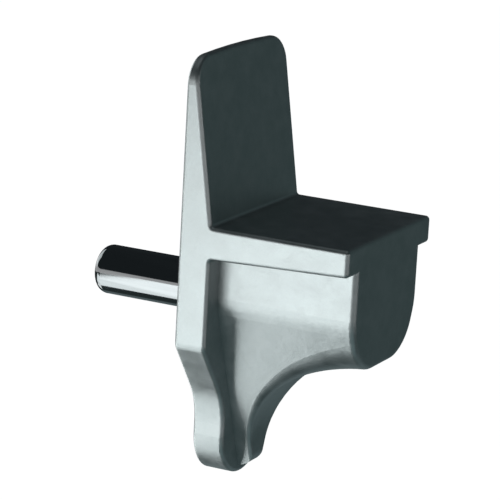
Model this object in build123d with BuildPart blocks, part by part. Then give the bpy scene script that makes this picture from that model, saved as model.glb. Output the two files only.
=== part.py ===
from build123d import *
import os
from math import cos, radians, sin

# A shelf support for a bored cabinet side: one die-cast bracket with a steel pin set in its back.
# X points out of the cabinet side towards the shelf, Y runs along the panel and Z is up.
# The origin is where the axis of the pin meets the flat back of the bracket. Lengths are in millimetres.

# Steel pin, with a thicker end that the bracket holds, flush with its back
pin_diameter = 3.0
pin_projection = 8.1
pin_tip_radius = 0.6
held_step = 0.2
held_length = 6.0
held_chamfer = 0.3
held_clearance = 0.02

# Back plate, wedge-shaped above the shelf seat and narrowed to a round tail below it
plate_width = 11.3
plate_thickness = 2.0
plate_top_thickness = 0.5
plate_top_height = 14.9
plate_top_crown = 0.2
plate_corner_radius = 1.6
shoulder_height = -2.2
shoulder_radius = 0.8
neck_height = -6.15
neck_radius = 4.0
tail_width = 5.5
tail_centre_height = -8.2

# Shelf seat, a ledge as wide as the plate
seat_height = 5.15
seat_reach = 10.75
seat_root_thickness = 1.95
seat_front_thickness = 1.6
seat_inner_radius = 0.2
seat_front_radius = 0.25

# Rib under the seat: upright sides, then slanted ones, with a hollow curve across its underside
rib_width = 8.6
rib_crease_height = 0.2
rib_crease_radius = 3.0
rib_front_height = -2.7
rib_front_corner_radius = 3.1
rib_end_radius = 0.35
rib_curve_end_height = -9.0
rib_toe_stand = 1.05
rib_toe_height = -10.4
rib_toe_width = 1.0
rib_toe_corner_radius = 0.25

# The front and the back rim of the casting are softened within the thin top edge of the plate
front_rim_share = 0.5
back_rim_share = 0.35

# The slices of the rib fan out from the centre of its hollow curve, a quarter of an ellipse, and end at the toe
rib_slice_angles = (90, 108, 126, 144, 162, 180)

held_radius = pin_diameter / 2 + held_step
plate_half = plate_width / 2
plate_corner_height = plate_top_height - plate_top_crown
tail_half = tail_width / 2
tail_bottom_height = tail_centre_height - tail_half
seat_root_height = seat_height - seat_root_thickness
seat_underside_height = seat_height - seat_front_thickness
rib_half = rib_width / 2
rib_toe_half = rib_toe_width / 2
rib_root_reach = plate_thickness / 2
rib_top_height = seat_height - seat_front_thickness / 2
rib_toe_reach = plate_thickness + rib_toe_stand
curve_reach = seat_reach - rib_toe_reach
curve_rise = rib_front_height - rib_curve_end_height
rib_slant_share = (rib_half - rib_toe_half) / (rib_crease_height - rib_toe_height)
rib_slice_reach = Vector(seat_reach, seat_height - rib_curve_end_height).length


def slanted_half_width(height):
    """Half the distance between the slanted sides of the rib at a height, carried on past the crease."""
    return rib_toe_half + (height - rib_toe_height) * rib_slant_share


os.makedirs("parts", exist_ok=True)

# Rib, before it joins the plate and the seat
with BuildPart() as rib:
    for angle in rib_slice_angles:
        lean = radians(angle)
        outward = Vector(cos(lean), 0, sin(lean))
        near = curve_reach * curve_rise / Vector(curve_rise * cos(lean), curve_reach * sin(lean)).length
        near_half = slanted_half_width(rib_curve_end_height + near * sin(lean))
        far_half = slanted_half_width(rib_curve_end_height + rib_slice_reach * sin(lean))
        front_share = (rib_slice_angles[-1] - angle) / (rib_slice_angles[-1] - rib_slice_angles[0])
        corner_gain = (rib_front_corner_radius - rib_toe_corner_radius) * front_share**2
        slice_plane = Plane(
            origin=(seat_reach, 0, rib_curve_end_height),
            x_dir=(0, 1, 0),
            z_dir=Vector(0, 1, 0).cross(outward),
        )
        with BuildSketch(slice_plane):
            with BuildLine():
                Polyline(
                    (-near_half, near),
                    (near_half, near),
                    (far_half, rib_slice_reach),
                    (-far_half, rib_slice_reach),
                    close=True,
                )
            make_face()
            fillet(vertices().group_by(Axis.Y)[0], rib_toe_corner_radius + corner_gain)
    loft()
    # Toe, straight down from the end of the curve
    for height in (rib_curve_end_height, rib_toe_height):
        half_width = slanted_half_width(height)
        with BuildSketch(Plane.XY.offset(height)):
            with BuildLine():
                Polyline(
                    (0, -half_width),
                    (rib_toe_reach, -half_width),
                    (rib_toe_reach, half_width),
                    (0, half_width),
                    close=True,
                )
            make_face()
            fillet(vertices().group_by(Axis.X)[-1], rib_toe_corner_radius)
    loft()
    # Trimmed to its upright sides, rounded under the toe, and ended inside the plate and the seat
    with BuildSketch(Plane.XZ):
        with BuildLine():
            toe_round = RadiusArc(
                (plate_thickness, rib_toe_height),
                (rib_toe_reach, rib_toe_height + rib_toe_stand),
                -rib_toe_stand,
            )
            Polyline(
                toe_round @ 1,
                (seat_reach, rib_toe_height + rib_toe_stand),
                (seat_reach, rib_top_height),
                (rib_root_reach, rib_top_height),
                (rib_root_reach, rib_toe_height),
                toe_round @ 0,
            )
        make_face()
    extrude(amount=rib_half, both=True, mode=Mode.INTERSECT)
    upright_sides = faces().sort_by(Axis.Y)[0], faces().sort_by(Axis.Y)[-1]
    fillet([side.edges().sort_by(Axis.Z)[0] for side in upright_sides], rib_crease_radius)
    end_outline = faces().sort_by(Axis.X)[-1].edges()
    bare_outline = end_outline.filter_by(lambda edge: edge.center().Z < seat_underside_height)
    fillet(bare_outline, rib_end_radius)

# Bracket: plate and seat as one bent profile, cut to the outline of the plate
with BuildPart() as bracket:
    with BuildSketch(Plane.XZ):
        with BuildLine():
            Polyline(
                (0, tail_bottom_height),
                (plate_thickness, tail_bottom_height),
                (plate_thickness, seat_root_height),
                (seat_reach, seat_underside_height),
                (seat_reach, seat_height),
                (plate_thickness, seat_height),
                (plate_top_thickness, plate_top_height),
                (0, plate_top_height),
                close=True,
            )
        make_face()
        fillet(vertices().group_by(Axis.X)[-1], seat_front_radius)
        inner_corner = vertices().sort_by_distance((plate_thickness, seat_height))[0]
        root_corner = vertices().sort_by_distance((plate_thickness, seat_root_height))[0]
        fillet((inner_corner, root_corner), seat_inner_radius)
    extrude(amount=plate_half, both=True)
    with BuildSketch(Plane.YZ):
        with BuildLine():
            ThreePointArc(
                (-plate_half, plate_corner_height),
                (0, plate_top_height),
                (plate_half, plate_corner_height),
            )
            side_outline = Polyline(
                (plate_half, plate_corner_height),
                (plate_half, shoulder_height),
                (tail_half, neck_height),
                (tail_half, tail_centre_height),
            )
            mirror(side_outline, about=Plane.YZ)
            ThreePointArc(
                (tail_half, tail_centre_height),
                (0, tail_bottom_height),
                (-tail_half, tail_centre_height),
            )
        make_face()
        fillet(vertices().group_by(Axis.Y)[-1], plate_corner_radius)
        fillet(vertices().group_by(Axis.Y)[2], shoulder_radius)
        fillet(vertices().group_by(Axis.Y)[1], neck_radius)
    extrude(amount=seat_reach, mode=Mode.INTERSECT)
    # The rim all round the front, then the rim of the back
    along_reach = edges().filter_by(Axis.X)
    seat_rim = along_reach.filter_by(lambda edge: edge.center().X > plate_thickness)
    other_rim = edges() - edges().filter_by(Axis.Y) - along_reach - faces().sort_by(Axis.X)[0].edges()
    fillet(seat_rim + other_rim, plate_top_thickness * front_rim_share)
    fillet(faces().sort_by(Axis.X)[0].edges(), plate_top_thickness * back_rim_share)
    add(rib.part)
    # Socket of the pin
    with BuildSketch(Plane.YZ):
        Circle(held_radius + held_clearance)
    extrude(amount=held_length, mode=Mode.SUBTRACT)

# Pin, rounded at the end that enters the panel
with BuildPart() as pin:
    with BuildSketch(Plane.YZ.offset(-pin_projection)):
        Circle(pin_diameter / 2)
    extrude(amount=pin_projection)
    fillet(faces().sort_by(Axis.X)[0].edges(), pin_tip_radius)
    with BuildSketch(Plane.YZ):
        Circle(held_radius)
    extrude(amount=held_length)
    chamfer(faces().sort_by(Axis.X)[-1].edges(), held_chamfer)

bracket.part.label = "bracket"
export_step(bracket.part, "parts/bracket.step")

pin.part.label = "pin"
export_step(pin.part, "parts/pin.step")
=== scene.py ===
from math import cos, pi, radians, sin, tan

import bmesh
import bpy
from mathutils import Matrix, Vector

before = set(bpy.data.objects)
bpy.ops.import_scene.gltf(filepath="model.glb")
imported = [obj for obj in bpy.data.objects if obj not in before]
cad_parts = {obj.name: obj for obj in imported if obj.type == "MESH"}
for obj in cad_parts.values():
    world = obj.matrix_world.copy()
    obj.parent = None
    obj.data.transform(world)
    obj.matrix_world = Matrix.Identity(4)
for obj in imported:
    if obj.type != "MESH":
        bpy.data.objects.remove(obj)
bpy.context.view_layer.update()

# Camera, as fitted to the photograph: angles in degrees, lengths in metres, picture places in pixels
PICTURE_SIDE = 500
FOCAL_LENGTH_PX = 2866.07
SENSOR_WIDTH_MM = 36
CAMERA_AZIMUTH = 26.58
CAMERA_ELEVATION = 14.01
CAMERA_ROLL = 3.18
CAMERA_DISTANCE = 0.170415
ORIGIN_IN_PICTURE = (221.38, 289.20)

# Pale studio floor with a low rim all round
FLOOR_DROP = 0.16
FLOOR_RADIUS = 1.2
FLOOR_RIM_ANGLE = 6
FLOOR_SEGMENTS = 96
FLOOR_COLOUR = (0.8, 0.8, 0.8, 1)

# Softboxes and cards stand at a turn from straight out of the -Y side towards -X, and a rise, in degrees.
# Softboxes that light the object: turn, rise, roll, spread in degrees, distance and radiance
SOFTBOXES = {
    "key_softbox": (57, -37, -42, (38, 38), 0.13, 2.7),
    "side_softbox": (12, -13, -10, (28, 30), 0.07, 2.65),
    "back_softbox": (100, 20, 0, (40, 40), 0.2, 1.5),
}
LIGHT_COLOUR = (0.94, 1.0, 1.0)

# Cards that show only in reflections: turn, rise, roll, distance, width, height and glow
STUDIO_CARDS = {
    "front_card": (207, -8, 0, 0.2, 0.34, 0.3, (0.074, 0.105, 0.108)),
    "back_card": (150, 0, 0, 0.3, 0.3, 0.2, (0.018, 0.024, 0.027)),
    "camera_card": (-40, -48, 0, 0.12, 0.15, 0.1, (0.2, 0.28, 0.29)),
    "top_card": (0, 90, 0, 0.25, 0.24, 0.24, (0.2, 0.225, 0.23)),
    "low_card": (88, -47, 0, 0.12, 0.06, 0.04, (2.0, 2.1, 2.1)),
    "far_card": (185, -52, 0, 0.12, 0.2, 0.08, (0.17, 0.22, 0.23)),
    "dark_mat": (0, -90, 0, 0.125, 1.2, 1.2, (0.047, 0.066, 0.068)),
    "pin_strip": (33.5, -29, -16, 0.12, 0.011, 0.11, (3.3, 3.5, 3.5)),
}
ROOM_COLOUR = (0.03, 0.038, 0.042, 1)


def direction(turn, rise):
    """Unit vector that leaves the object straight out of its -Y side, turned towards -X and raised, in degrees."""
    t, r = radians(turn), radians(rise)
    return Vector((-sin(t) * cos(r), -cos(t) * cos(r), sin(r)))


def add_node(tree, kind, inputs=None, **settings):
    """A shader node with some of its settings and input values."""
    node = tree.nodes.new(kind)
    for name, value in settings.items():
        setattr(node, name, value)
    for name, value in (inputs or {}).items():
        node.inputs[name].default_value = value
    return node


def new_material(name):
    """An empty node material and its output node."""
    material = bpy.data.materials.new(name)
    material.use_nodes = True
    material.node_tree.nodes.clear()
    return material, add_node(material.node_tree, "ShaderNodeOutputMaterial")


def mix_colours(tree, share, first, second):
    """The output of a node that mixes two colours by a share that another node gives."""
    mix = add_node(tree, "ShaderNodeMix", data_type="RGBA")
    colour_inputs = [socket for socket in mix.inputs if socket.type == "RGBA"]
    colour_inputs[0].default_value = first
    colour_inputs[1].default_value = second
    tree.links.new(share, mix.inputs[0])
    return [socket for socket in mix.outputs if socket.type == "RGBA"][0]


def satin_nickel():
    """Nickel plate on a casting: faint mottling, a fine grain, and a sheen that varies a little."""
    material, output = new_material("satin_nickel")
    tree = material.node_tree
    links = tree.links
    place = add_node(tree, "ShaderNodeTexCoord")
    mottle = add_node(tree, "ShaderNodeTexNoise", {"Scale": 800, "Detail": 5, "Roughness": 0.65})
    spread = add_node(tree, "ShaderNodeMapRange", {"From Min": 0.35, "From Max": 0.65})
    grain = add_node(tree, "ShaderNodeTexNoise", {"Scale": 3200, "Detail": 4, "Roughness": 0.6})
    sheen = add_node(tree, "ShaderNodeMapRange", {"To Min": 0.37, "To Max": 0.47})
    bump = add_node(tree, "ShaderNodeBump", {"Strength": 0.4, "Distance": 0.00002})
    nickel = add_node(tree, "ShaderNodeBsdfPrincipled", {"Metallic": 1.0})
    links.new(place.outputs["Object"], mottle.inputs["Vector"])
    links.new(place.outputs["Object"], grain.inputs["Vector"])
    links.new(mottle.outputs["Fac"], spread.inputs["Value"])
    colour = mix_colours(tree, spread.outputs["Result"], (0.37, 0.395, 0.397, 1), (0.45, 0.475, 0.477, 1))
    links.new(colour, nickel.inputs["Base Color"])
    links.new(spread.outputs["Result"], sheen.inputs["Value"])
    links.new(sheen.outputs["Result"], nickel.inputs["Roughness"])
    links.new(grain.outputs["Fac"], bump.inputs["Height"])
    links.new(bump.outputs["Normal"], nickel.inputs["Normal"])
    links.new(nickel.outputs["BSDF"], output.inputs["Surface"])
    return material


def polished_steel():
    """Dark polished steel with fine drawing lines along the pin."""
    material, output = new_material("polished_steel")
    tree = material.node_tree
    links = tree.links
    place = add_node(tree, "ShaderNodeTexCoord")
    stretch = add_node(tree, "ShaderNodeMapping", {"Scale": (0.03, 1, 1)})
    lines = add_node(tree, "ShaderNodeTexNoise", {"Scale": 9000, "Detail": 2})
    sheen = add_node(tree, "ShaderNodeMapRange", {"To Min": 0.05, "To Max": 0.11})
    bump = add_node(tree, "ShaderNodeBump", {"Strength": 0.04, "Distance": 0.000004})
    steel = add_node(tree, "ShaderNodeBsdfPrincipled", {"Metallic": 1.0})
    links.new(place.outputs["Object"], stretch.inputs["Vector"])
    links.new(stretch.outputs["Vector"], lines.inputs["Vector"])
    colour = mix_colours(tree, lines.outputs["Fac"], (0.22, 0.227, 0.232, 1), (0.27, 0.277, 0.282, 1))
    links.new(colour, steel.inputs["Base Color"])
    links.new(lines.outputs["Fac"], sheen.inputs["Value"])
    links.new(sheen.outputs["Result"], steel.inputs["Roughness"])
    links.new(lines.outputs["Fac"], bump.inputs["Height"])
    links.new(bump.outputs["Normal"], steel.inputs["Normal"])
    links.new(steel.outputs["BSDF"], output.inputs["Surface"])
    return material


def white_floor():
    """Pale floor that shows white to the camera and in reflections, and still takes the shadow of the object."""
    material, output = new_material("white_floor")
    tree = material.node_tree
    links = tree.links
    path = add_node(tree, "ShaderNodeLightPath")
    seen_or_mirrored = add_node(tree, "ShaderNodeMath", operation="MAXIMUM")
    shown = add_node(tree, "ShaderNodeMath", operation="MAXIMUM")
    matt = add_node(tree, "ShaderNodeBsdfDiffuse", {"Color": FLOOR_COLOUR})
    white = add_node(tree, "ShaderNodeEmission")
    both = add_node(tree, "ShaderNodeAddShader")
    links.new(path.outputs["Is Camera Ray"], seen_or_mirrored.inputs[0])
    links.new(path.outputs["Is Glossy Ray"], seen_or_mirrored.inputs[1])
    links.new(seen_or_mirrored.outputs["Value"], shown.inputs[0])
    links.new(path.outputs["Is Transmission Ray"], shown.inputs[1])
    links.new(shown.outputs["Value"], white.inputs["Strength"])
    links.new(matt.outputs["BSDF"], both.inputs[0])
    links.new(white.outputs["Emission"], both.inputs[1])
    links.new(both.outputs["Shader"], output.inputs["Surface"])
    return material


def plain_card(name, glow_colour):
    """Plain card with an even glow."""
    material, output = new_material(name)
    tree = material.node_tree
    glow = add_node(tree, "ShaderNodeEmission", {"Color": (*glow_colour, 1), "Strength": 1})
    tree.links.new(glow.outputs["Emission"], output.inputs["Surface"])
    return material


def add_mesh(name, shape, material):
    """A mesh object made from a bmesh."""
    mesh = bpy.data.meshes.new(name)
    shape.to_mesh(mesh)
    shape.free()
    mesh.materials.append(material)
    piece = bpy.data.objects.new(name, mesh)
    bpy.context.scene.collection.objects.link(piece)
    return piece


def facing_object(turn, rise, roll, distance):
    """Places something away from the object, with its -Z side towards it, rolled on that axis."""
    out = direction(turn, rise)
    turned = out.to_track_quat("Z", "Y").to_matrix().to_4x4()
    return Matrix.Translation(out * distance) @ turned @ Matrix.Rotation(radians(roll), 4, "Z")


def add_floor():
    """Round floor below the object, with a rim that closes the view at eye level."""
    shape = bmesh.new()
    bmesh.ops.create_circle(shape, cap_ends=True, segments=FLOOR_SEGMENTS, radius=FLOOR_RADIUS)
    rim = bmesh.ops.extrude_edge_only(shape, edges=[edge for edge in shape.edges if edge.is_boundary])
    rim_vertices = [item for item in rim["geom"] if isinstance(item, bmesh.types.BMVert)]
    rim_height = FLOOR_DROP + FLOOR_RADIUS * tan(radians(FLOOR_RIM_ANGLE))
    bmesh.ops.translate(shape, verts=rim_vertices, vec=(0, 0, rim_height))
    bmesh.ops.translate(shape, verts=shape.verts, vec=(0, 0, -FLOOR_DROP))
    add_mesh("studio_floor", shape, white_floor())


def add_card(name, turn, rise, roll, distance, width, height, glow_colour):
    """Card that shows only in reflections."""
    shape = bmesh.new()
    bmesh.ops.create_grid(shape, size=0.5)
    bmesh.ops.scale(shape, verts=shape.verts, vec=(width, height, 1))
    bmesh.ops.transform(shape, verts=shape.verts, matrix=facing_object(turn, rise, roll, distance))
    card = add_mesh(name, shape, plain_card(name, glow_colour))
    card.visible_camera = False
    card.visible_diffuse = False
    card.visible_shadow = False


def add_softbox(name, turn, rise, roll, spread, distance, radiance):
    """Rectangular softbox that shines on the object, as wide and as tall as its spread in degrees."""
    light = bpy.data.lights.new(name, "AREA")
    light.shape = "RECTANGLE"
    light.size, light.size_y = (2 * distance * tan(radians(angle) / 2) for angle in spread)
    light.energy = radiance * pi * light.size * light.size_y
    light.color = LIGHT_COLOUR
    softbox = bpy.data.objects.new(name, light)
    softbox.matrix_world = facing_object(turn, rise, roll, distance)
    softbox.visible_camera = False
    bpy.context.scene.collection.objects.link(softbox)


def add_room():
    """Dim light from all round."""
    world = bpy.data.worlds.new("dim_room")
    world.use_nodes = True
    world.node_tree.nodes["Background"].inputs["Color"].default_value = ROOM_COLOUR
    bpy.context.scene.world = world


def add_camera():
    """Camera where the photograph was taken from."""
    azimuth, elevation, roll = (radians(a) for a in (CAMERA_AZIMUTH, CAMERA_ELEVATION, CAMERA_ROLL))
    back = Vector((sin(azimuth) * cos(elevation), -cos(azimuth) * cos(elevation), sin(elevation)))
    level = Vector((cos(azimuth), sin(azimuth), 0))
    upright = back.cross(level)
    right = level * cos(roll) + upright * sin(roll)
    up = upright * cos(roll) - level * sin(roll)
    metres_per_px = CAMERA_DISTANCE / FOCAL_LENGTH_PX
    across = (ORIGIN_IN_PICTURE[0] - PICTURE_SIDE / 2) * metres_per_px
    above = (PICTURE_SIDE / 2 - ORIGIN_IN_PICTURE[1]) * metres_per_px
    lens = bpy.data.cameras.new("camera")
    lens.sensor_width = SENSOR_WIDTH_MM
    lens.lens = FOCAL_LENGTH_PX / PICTURE_SIDE * SENSOR_WIDTH_MM
    lens.clip_start = CAMERA_DISTANCE / 10
    camera = bpy.data.objects.new("camera", lens)
    turned = Matrix((right, up, back)).transposed().to_4x4()
    camera.matrix_world = Matrix.Translation(back * CAMERA_DISTANCE - right * across - up * above) @ turned
    bpy.context.scene.collection.objects.link(camera)
    bpy.context.scene.camera = camera


def dress(node, material):
    """Gives a CAD node its material."""
    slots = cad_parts[node].data.materials
    slots.clear()
    slots.append(material)


dress("bracket", satin_nickel())
dress("pin", polished_steel())
add_floor()
for card_name, card_values in STUDIO_CARDS.items():
    add_card(card_name, *card_values)
for softbox_name, softbox_values in SOFTBOXES.items():
    add_softbox(softbox_name, *softbox_values)
add_room()
add_camera()

bpy.context.scene.view_settings.view_transform = "Standard"
